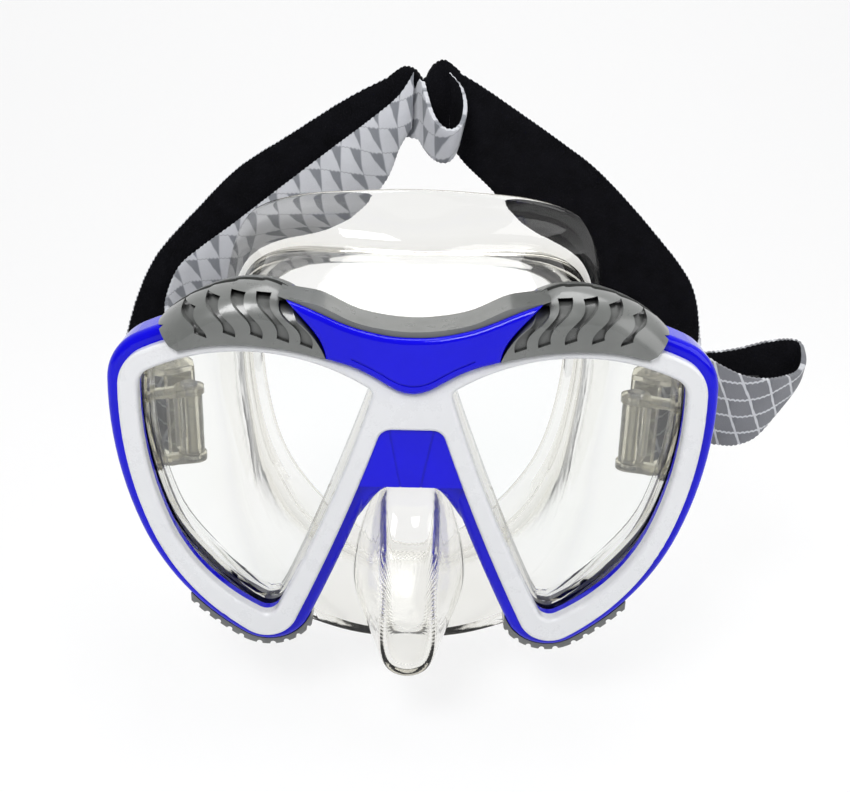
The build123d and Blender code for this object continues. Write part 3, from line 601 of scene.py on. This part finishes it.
inner.append([(p.x, pocket_root, p.y) for p in full_ring(pocket_shapes[-1][1], wall)])
pocket_out = lofted_shell("pocket_out", outer, False)
pocket_in = lofted_shell("pocket_in", inner, False)
united(skirt, pocket_out, "UNION")
united(skirt, pocket_in, "DIFFERENCE")
smoothed(skirt.data, 40)

silicone = moulding("clear_silicone", (0.955, 0.955, 0.94), (0.985, 0.985, 0.98), 0.015, 0.09,
                    grain_scale=900.0, bump=None, drift_scale=35.0,
                    Transmission_Weight=1.0, IOR=1.41)
ripple_scale = 160.0
ripple_height = 0.00006
tree = silicone.node_tree
bumped(tree, tree.nodes["Principled BSDF"], noise(tree, ripple_scale, 1.0), ripple_height)
body = tree.nodes.new("ShaderNodeVolumeAbsorption")
body.inputs["Color"].default_value = (0.6, 0.56, 0.42, 1)
body.inputs["Density"].default_value = 30.0
tree.links.new(body.outputs[0], tree.nodes["Material Output"].inputs["Volume"])
skirt.data.materials.clear()
skirt.data.materials.append(silicone)
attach(skirt, "mask")
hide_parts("skirt")

# ---------------------------------------------------------------------------------------------
# Nose arch fillets: the two rounded inner corners of the arch, in the frame's own blue, which
# run from the arch's face back into the legs.
# ---------------------------------------------------------------------------------------------
arch_face = 1.15
leg_face = 6.4
fillet_back = 12.0
fillet_steps = 28
fillet_haste, fillet_ease = 1.6, 1.4
fillet_edge = ((4.0, -8.35), (7.2, -9.5), (9.9, -12.4), (12.5, -16.6), (14.9, -20.9),
               (18.4, -26.6), (22.2, -32.4))
fillet_root = ((4.0, -7.2), (8.5, -7.2), (13.2, -7.6), (16.0, -13.5), (18.8, -19.5),
               (21.8, -26.5), (24.2, -32.0))
# The rounded face: share of the way from edge to root, and drop behind the arch's face.
fillet_round = ((1.0, 0.0), (0.7, 0.0), (0.35, 0.3), (0.1, 0.9), (0.0, 1.8))
edges = flowed([(x, y, 0) for x, y in fillet_edge], fillet_steps)
roots = flowed([(x, y, 0) for x, y in fillet_root], fillet_steps)
for label, side in (("right", 1), ("left", -1)):
    sections = []
    for i, (edge, root) in enumerate(zip(edges, roots)):
        down = min(1.0, fillet_haste * i / (fillet_steps - 1)) ** fillet_ease
        face = arch_face + (leg_face - arch_face) * down
        across = root - edge
        section = [(share, face + drop) for share, drop in fillet_round]
        section += [(0.0, fillet_back), (1.0, fillet_back)]
        sections.append([(side * (edge.x + share * across.x), depth, edge.y + share * across.y)
                         for share, depth in section])
    corner = lofted_shell(f"arch_fillet_{label}", sections, False, smooth=0)
    smoothed(corner.data, 45)
    corner.data.materials.append(royal_blue)
    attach(corner, "mask")

# ---------------------------------------------------------------------------------------------
# Buckles: water-clear polycarbonate gone faintly yellow, with smoked release levers, turned
# steel pins and music-wire springs. Each one swivels on a bracket on the frame's back.
# ---------------------------------------------------------------------------------------------
clear_poly = moulding("buckle_polycarbonate", (0.93, 0.88, 0.7), (0.98, 0.96, 0.85), 0.04, 0.15,
                      grain_scale=1500.0, bump=0.00004, drift_scale=90.0,
                      Transmission_Weight=0.82, IOR=1.5)
steel = moulding("turned_steel", (0.5, 0.5, 0.51), (0.68, 0.68, 0.67), 0.15, 0.35,
                 grain_scale=5000.0, Metallic=1.0)
smoked = moulding("smoked_lever", (0.06, 0.06, 0.06), (0.11, 0.11, 0.1), 0.12, 0.25,
                  Coat_Weight=0.3)
for side in ("right", "left"):
    dress(clear_poly, f"buckle_bracket_{side}", f"buckle_{side}", f"strap_roller_{side}")
    dress(smoked, f"release_lever_{side}")
    dress(steel, f"pivot_pin_{side}", f"roller_pin_{side}", f"lever_pin_{side}",
          f"lever_spring_{side}")

# ---------------------------------------------------------------------------------------------
# Strap wraps: the strap's turns round the buckles' rollers. The strap is one neoprene band,
# black plush on the head's side and a printed knit outside, cut with fine pinked edges.
# ---------------------------------------------------------------------------------------------
strap_thick = 2.0
half_width = 13.0
tooth_pitch = 1.5
tooth_depth = 0.45
row_step = 0.5
columns = 13
edge_share = 0.72

# The print: rows of cells with thin pale lines between them, and a darker wedge in each cell.
cells, get, put = effect("printed_cells",
                         (("Along", "Float", 0.007), ("Across", "Float", 0.007),
                          ("Lean", "Float", 0.3), ("Rise", "Float", 0.0),
                          ("Line", "Float", 0.07), ("Wedge", "Float", 0.5)),
                         (("Lines", "Float"), ("Wedges", "Float"), ("Height", "Float")))
uv = cells.nodes.new("ShaderNodeUVMap")
uv.uv_map = "strap"
split = cells.nodes.new("ShaderNodeSeparateXYZ")
cells.links.new(uv.outputs[0], split.inputs[0])
along, across = split.outputs["X"], split.outputs["Y"]
wander_scale = 90.0
wander = noise(cells, wander_scale, 1.0)


def cell_share(run, tilt, other, size, waver):
    """How far along its cell a place lies, on rows that lean with the other direction."""
    leaned = maths(cells, "MULTIPLY_ADD", other, get.outputs[tilt], run)
    count = maths(cells, "DIVIDE", leaned, get.outputs[size])
    return maths(cells, "FRACT", maths(cells, "MULTIPLY_ADD", wander, waver, count))


def edge_distance(share):
    """Distance from the nearer end of a cell, as a share of it."""
    off_middle = maths(cells, "ABSOLUTE", maths(cells, "SUBTRACT", share, 0.5))
    return maths(cells, "SUBTRACT", 0.5, off_middle)


u = cell_share(along, "Lean", across, "Along", 0.25)
v = cell_share(across, "Rise", along, "Across", 0.2)
edge = maths(cells, "MINIMUM", edge_distance(u), edge_distance(v))
line_crispness, wedge_crispness = 30.0, 14.0
lines = maths(cells, "MULTIPLY", maths(cells, "SUBTRACT", get.outputs["Line"], edge),
              line_crispness, clamp=True)
slope = maths(cells, "MULTIPLY", maths(cells, "SUBTRACT", 1.0, v), get.outputs["Wedge"])
wedge = maths(cells, "MULTIPLY", maths(cells, "SUBTRACT", slope, u), wedge_crispness, clamp=True)
wire(cells, lines, put.inputs["Lines"])
wire(cells, maths(cells, "MULTIPLY", wedge, maths(cells, "SUBTRACT", 1.0, lines)),
     put.inputs["Wedges"])
wire(cells, maths(cells, "MULTIPLY_ADD", lines, 0.5, maths(cells, "MULTIPLY", wedge, 0.2)),
     put.inputs["Height"])

# The knit under the print: fine loops that shade its colour, dull it and raise it.
knit, get, put = effect("jersey_knit",
                        (("Colour", "Color", (0.5, 0.5, 0.5, 1)), ("Relief", "Float", 0.0)),
                        (("Colour", "Color"), ("Roughness", "Float"), ("Height", "Float")))
loop_scale = 5200.0
loop_height = 0.00012
loops = noise(knit, loop_scale, 1.0)
shaded = colour_mix(knit, maths(knit, "MULTIPLY_ADD", loops, 0.5, 0.0, clamp=True),
                    get.outputs["Colour"], (0.02, 0.02, 0.022, 1), "MULTIPLY")
wire(knit, colour_mix(knit, 0.35, get.outputs["Colour"], shaded), put.inputs["Colour"])
wire(knit, maths(knit, "MULTIPLY_ADD", loops, 0.2, 0.62), put.inputs["Roughness"])
wire(knit, maths(knit, "MULTIPLY_ADD", get.outputs["Relief"], 0.6, loops), put.inputs["Height"])


def printed(name, ground, wedge_colour, line_colour, **values):
    """The band's outer face: a fine jersey knit with the cell print on it."""
    mat, tree, bsdf = new_material(name)
    pattern = placed(tree, cells, **values)
    deep = [0.86 * c for c in ground]
    tint = placed(tree, drift, Deep=(*deep, 1), Pale=(*ground, 1), Scale=140.0)
    wedged = colour_mix(tree, pattern.outputs["Wedges"], tint.outputs["Colour"],
                        (*wedge_colour, 1))
    lined = colour_mix(tree, pattern.outputs["Lines"], wedged, (*line_colour, 1))
    cloth = placed(tree, knit, Colour=lined, Relief=pattern.outputs["Height"])
    tree.links.new(cloth.outputs["Colour"], bsdf.inputs["Base Color"])
    tree.links.new(cloth.outputs["Roughness"], bsdf.inputs["Roughness"])
    bumped(tree, bsdf, cloth.outputs["Height"], loop_height)
    bsdf.inputs["Specular IOR Level"].default_value = 0.3
    bsdf.inputs["Sheen Weight"].default_value = 0.15
    return mat


grey_print = printed("grey_print", (0.2, 0.205, 0.22), (0.16, 0.165, 0.18), (0.55, 0.56, 0.58),
                     Along=0.0086, Across=0.0058, Lean=-0.5, Rise=0.34, Line=0.07, Wedge=0.3)

plush, tree, bsdf = new_material("black_plush")
tint = placed(tree, drift, Deep=(0.0015, 0.0015, 0.002, 1), Pale=(0.005, 0.005, 0.007, 1),
              Scale=180.0)
nap_scale = 2600.0
nap_height = 0.0003
nap = noise(tree, nap_scale, 3.0)
fibre = colour_mix(tree, maths(tree, "MULTIPLY_ADD", nap, 2.0, -0.9, clamp=True),
                   tint.outputs["Colour"], (0.012, 0.012, 0.015, 1))
tree.links.new(fibre, bsdf.inputs["Base Color"])
tree.links.new(maths(tree, "MULTIPLY_ADD", nap, 0.15, 0.85), bsdf.inputs["Roughness"])
bumped(tree, bsdf, nap, nap_height)
bsdf.inputs["Specular IOR Level"].default_value = 0.08


def spread(points):
    """A row's points as one smooth line with a point for each column."""
    if len(points) == 2:
        return [points[0].lerp(points[1], i / (columns - 1)) for i in range(columns)]
    return flowed(points, columns)


def pinked_grid(rows):
    """Close rows along the strap through the given ones, with toothed edges."""
    rows = [spread([spot(*p) for p in row]) for row in rows]
    middle = columns // 2
    reach = [0.0]
    for a, b in zip(rows, rows[1:]):
        reach.append(reach[-1] + (b[middle] - a[middle]).length)
    count = int(reach[-1] * 1000 / row_step) + 2
    grid = []
    for i in range(count):
        goal = reach[-1] * i / (count - 1)
        k = max(j for j in range(len(rows) - 1) if reach[j] <= goal + 1e-9)
        t = (goal - reach[k]) / (reach[k + 1] - reach[k])
        near = [rows[min(max(k + s, 0), len(rows) - 1)] for s in (-1, 0, 1, 2)]
        line = [curve_point(*(row[j] for row in near), t) for j in range(columns)]
        for edge, beside in ((0, 1), (-1, -2)):
            bite = abs((goal * 1000 / tooth_pitch) % 1.0 - 0.5) * 2
            inward = (line[beside] - line[edge]).normalized()
            line[edge] = line[edge] + inward * (tooth_depth * bite / 1000)
        grid.append(line)
    return grid


def ribbon(name, rows, face, back, flip=False, thick=strap_thick):
    """Strap length through rows of points; the face looks along run x row, or away if flipped."""
    grid = pinked_grid(rows)
    count = len(grid)
    middle = columns // 2
    front, rear, places = [], [], []
    along = 0.0
    for i, line in enumerate(grid):
        if i:
            along += (line[middle] - grid[i - 1][middle]).length
        across = 0.0
        for j, p in enumerate(line):
            if j:
                across += (p - line[j - 1]).length
            run = grid[min(i + 1, count - 1)][j] - grid[max(i - 1, 0)][j]
            over = line[min(j + 1, columns - 1)] - line[max(j - 1, 0)]
            out = run.cross(over).normalized() * (-1 if flip else 1)
            half = thick / 2000 * (edge_share if j in (0, columns - 1) else 1.0)
            front.append(p + out * half)
            rear.append(p - out * half)
            places.append((along, across))
    n = columns
    total = count * n
    face_kind, back_kind = 0, 1
    rim_kind = back_kind if face is plush else face_kind
    quads, kinds = [], []

    def quad(a, b, c, d, kind):
        quads.append((a, b, c, d) if not flip else (d, c, b, a))
        kinds.append(kind)

    for i in range(0, (count - 1) * n, n):
        for j in range(n - 1):
            a, b, c, d = i + j, i + n + j, i + n + j + 1, i + j + 1
            quad(a, b, c, d, face_kind)
            quad(total + d, total + c, total + b, total + a, back_kind)
        quad(i, total + i, total + i + n, i + n, rim_kind)
        last = i + n - 1
        quad(last, last + n, total + last + n, total + last, rim_kind)
    end = (count - 1) * n
    for j in range(n - 1):
        quad(j, j + 1, total + j + 1, total + j, back_kind)
        quad(end + j, total + end + j, total + end + j + 1, end + j + 1, back_kind)
    mesh = bpy.data.meshes.new(name)
    mesh.from_pydata(front + rear, [], quads)
    mesh.polygons.foreach_set("material_index", kinds)
    layer = mesh.uv_layers.new(name="strap")
    for corner in mesh.loops:
        layer.data[corner.index].uv = places[corner.vertex_index % total]
    mesh.materials.append(face)
    mesh.materials.append(back)
    smoothed(mesh, 50)
    return shown_piece(name, mesh)


pivot_across = 66.0
pivot_depth = 27.0
lie = math.radians(35.0)


def behind_pivot(side, out, run, height):
    """Millimetre place by a buckle: out to its side, run back along it, up from the eye line."""
    return (side * (pivot_across + out * math.cos(lie) + run * math.sin(lie)),
            pivot_depth - out * math.sin(lie) + run * math.cos(lie), height)


def buckle_row(side, out, run):
    """A row of the strap at the buckle."""
    return [behind_pivot(side, out, run, half_width), behind_pivot(side, out, run, -half_width)]


roller_out, roller_run = -1.0, 13.0
wrap_radius = 3.9
band_side = roller_out - wrap_radius
tail_side = roller_out + wrap_radius
wrap_thick = 2.3
wrap_legs = (roller_run, 16.5, 20.0)
path = [(band_side, run) for run in reversed(wrap_legs)]
path += [(roller_out - wrap_radius * math.cos(math.radians(a)),
          roller_run - wrap_radius * math.sin(math.radians(a))) for a in range(30, 180, 30)]
path += [(tail_side, run) for run in wrap_legs]
for label, side in (("right", 1), ("left", -1)):
    wrap = ribbon(f"strap_wrap_{label}", [buckle_row(side, out, run) for out, run in path],
                  grey_print, plush, flip=side > 0, thick=wrap_thick)
    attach(wrap, f"buckle_{label}_body")
    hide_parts(f"strap_turn_{label}")

# ---------------------------------------------------------------------------------------------
# Strap sides: the band's two long runs from the buckles round the back and up to the crown,
# plush side to the viewer and print behind. Only the ends at the buckles swing with them.
# ---------------------------------------------------------------------------------------------
pale_print = printed("pale_print", (0.6, 0.61, 0.64), (0.22, 0.23, 0.25), (0.27, 0.28, 0.3),
                     Along=0.0085, Across=0.0076, Lean=-0.1, Rise=0.62, Line=0.03, Wedge=0.6)
band_right = ribbon("strap_side_right", [
    buckle_row(1, band_side, 20.3), buckle_row(1, band_side, 23.0),
    [(84, 56.5, 14), (81, 56.5, -12)],
    [(93, 66, 13), (85.5, 66, -9)],
    [(96, 72.5, 14.5), (84, 73, -3)],
    [(92.3, 77, 31.4), (77, 79.5, 8)],
    [(77.7, 79.5, 49.2), (62, 82.5, 22)],
    [(59.4, 80, 67.2), (44.5, 81, 36)],
    [(45.5, 79, 77.2), (35, 80, 47)],
    [(32.1, 77.5, 86), (25.5, 78.5, 59.5)],
    [(18.5, 76.2, 94.6), (15, 77.4, 69.5)],
    [(9, 75.2, 99.6), (10, 76.4, 76)]], plush, pale_print)
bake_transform(band_right)
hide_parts("strap_band_right")

band_left = ribbon("strap_side_left", [
    buckle_row(-1, band_side, 20.3), buckle_row(-1, band_side, 23.0),
    [(-84, 56.5, 14), (-81, 56.5, -12)],
    [(-93, 65, 13), (-86, 65, -9)],
    [(-96.3, 71, 11.5), (-84, 72, -4)],
    [(-92.6, 76, 24.8), (-80, 79, 8)],
    [(-85.7, 79, 38), (-71, 82.5, 20)],
    [(-71.8, 80.5, 53.1), (-57, 83.5, 30)],
    [(-58, 80, 66.5), (-40, 82, 41)],
    [(-41.3, 78.5, 77.4), (-26, 80, 54)],
    [(-22, 76.5, 89.7), (-12, 77.5, 70)],
    [(-6.5, 75.3, 97.6), (-5.5, 76, 83)]], plush, pale_print, flip=True)
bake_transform(band_left)
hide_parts("strap_band_left")

# ---------------------------------------------------------------------------------------------
# Strap fold and crown: on the left the printed half lies folded forward. At the crown it drops
# in a loop, and a saddle of the band crosses behind the loop where the strap hangs.
# ---------------------------------------------------------------------------------------------
loop_thick, saddle_thick = 1.7, 2.2
fold = ribbon("strap_fold_front", [
    [(-1.6, 72.6, 98.2), (-1.9, 72.2, 89), (-2.1, 72.5, 80.8)],
    [(-6.1, 72.5, 91.0), (-6.3, 71.6, 82.5), (-5.8, 72.5, 74.6)],
    [(-15.2, 73, 83.3), (-13.2, 71.8, 73.6), (-10.3, 73.2, 63.6)],
    [(-27.8, 74.2, 73.6), (-26.5, 72.6, 60.5), (-23.0, 75, 48.5)],
    [(-44.1, 75.6, 61.0), (-41.5, 74.4, 49), (-38.0, 77.5, 36.9)],
    [(-59.1, 77.2, 49.2), (-58.8, 77, 39), (-58.5, 80, 28.5)],
    [(-71.1, 77.4, 40.3), (-69.7, 78, 31), (-68.1, 80, 22.6)],
    [(-78.6, 76, 33.5), (-75.8, 77.5, 25), (-73, 79, 15)],
    [(-82.4, 73.2, 24.0), (-79, 75.2, 15), (-75.5, 76, 6)],
    [(-81.5, 68, 17.5), (-79, 69, 8), (-77, 70, 0)],
    [(-80, 61, 14.5), (-78.6, 61, 5), (-77.6, 61, -4)]], pale_print, plush)
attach(fold, "mask")
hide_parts("strap_fold_left")

loop = ribbon("strap_crown_loop", [
    [(-2.4, 73.8, 97.2), (-4.4, 74.2, 78)],
    [(-0.8, 74.3, 96.8), (-2.2, 74.5, 77.5)],
    [(1.0, 72.8, 95.6), (0.3, 74.2, 77)],
    [(2.3, 69.8, 91.6), (2.4, 72.6, 74.5)],
    [(4.4, 66.0, 86.2), (4.7, 69.6, 72.4)],
    [(7.4, 63.8, 82.9), (7.0, 67.8, 71.4)],
    [(10.8, 63.9, 82.2), (9.4, 67.6, 71.6)],
    [(13.4, 66.3, 84), (11.2, 69, 73.6)],
    [(14.4, 69.6, 89), (12.4, 71, 77)],
    [(12.9, 72.2, 94.2), (12.8, 72.4, 80)],
    [(9.2, 73.0, 98.2), (11.6, 73.4, 84)]], pale_print, plush, flip=True, thick=loop_thick)
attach(loop, "mask")
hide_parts("strap_crown_fold")

saddle = ribbon("strap_crown_saddle", [
    [(-9.5, 75.7, 96.3), (-8.5, 76.6, 80)],
    [(-5.0, 74.8, 99.4), (-5.2, 75.6, 87)],
    [(-1.4, 74.0, 98.8), (-1.2, 74.8, 91)],
    [(1.6, 73.8, 96.0), (1.8, 75.2, 86)],
    [(4.4, 74.2, 100.2), (4.4, 75.8, 79)],
    [(8.0, 74.6, 101.6), (8.4, 76.6, 74)],
    [(12.5, 75.8, 98.4), (12.8, 77.4, 73)]], plush, plush, flip=True, thick=saddle_thick)
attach(saddle, "mask")
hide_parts("strap_crown")

# ---------------------------------------------------------------------------------------------
# Spare tail: on the right, the strap's free end runs out past the frame, turns back at its end
# and lies behind itself.
# ---------------------------------------------------------------------------------------------
tail = ribbon("strap_spare_tail", [
    buckle_row(1, tail_side, 20.3),
    [(84.3, 45.3, 17.0), (84.6, 45.3, -13.0)],
    [(89.3, 46.2, 18.0), (90.6, 46.4, -12.6)],
    [(96.3, 45.6, 14.3), (97.3, 46.2, -13.2)],
    [(103.6, 45.2, 11.2), (103.8, 46, -13.3)],
    [(111.0, 45.8, 10.0), (110.2, 46.6, -10.6)],
    [(117.3, 47.2, 10.4), (116.0, 48, -3.4)],
    [(122.2, 49.6, 11.4), (121.2, 50.4, 3.6)],
    [(124.4, 52.8, 14.2), (124.0, 53.2, 8.0)],
    [(123.8, 55.6, 18.6), (123.4, 55.8, 7.0)],
    [(120.6, 56.9, 19.6), (120.2, 57, 1)],
    [(113.6, 57.3, 18.6), (113.4, 57.4, -6)],
    [(104, 57.4, 15.8), (104, 57.4, -10)],
    [(96, 57.8, 14.4), (96, 57.8, -11)],
    [(90.5, 58.6, 14), (90.5, 58.6, -11)]], grey_print, plush, flip=True)
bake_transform(tail)
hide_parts("strap_tail_right")

# ---------------------------------------------------------------------------------------------
# Hook patch: a short piece of woven tape with moulded hooks, sewn to the tail's inner face to
# hold it to the band.
# ---------------------------------------------------------------------------------------------
hook_scale = 1400.0
hook_height = 0.0004
hooks, tree, bsdf = new_material("hook_tape")
dots = tree.nodes.new("ShaderNodeTexVoronoi")
dots.inputs["Scale"].default_value = hook_scale
tree.links.new(tree.nodes.new("ShaderNodeTexCoord").outputs["Object"], dots.inputs["Vector"])
peak = maths(tree, "MULTIPLY_ADD", dots.outputs["Distance"], -1.8, 1.0, clamp=True)
tree.links.new(colour_mix(tree, peak, (0.004, 0.004, 0.005, 1), (0.05, 0.05, 0.055, 1)),
               bsdf.inputs["Base Color"])
tree.links.new(maths(tree, "MULTIPLY_ADD", peak, -0.3, 0.7), bsdf.inputs["Roughness"])
bumped(tree, bsdf, peak, hook_height)
dress(hooks, "hook_patch_right")
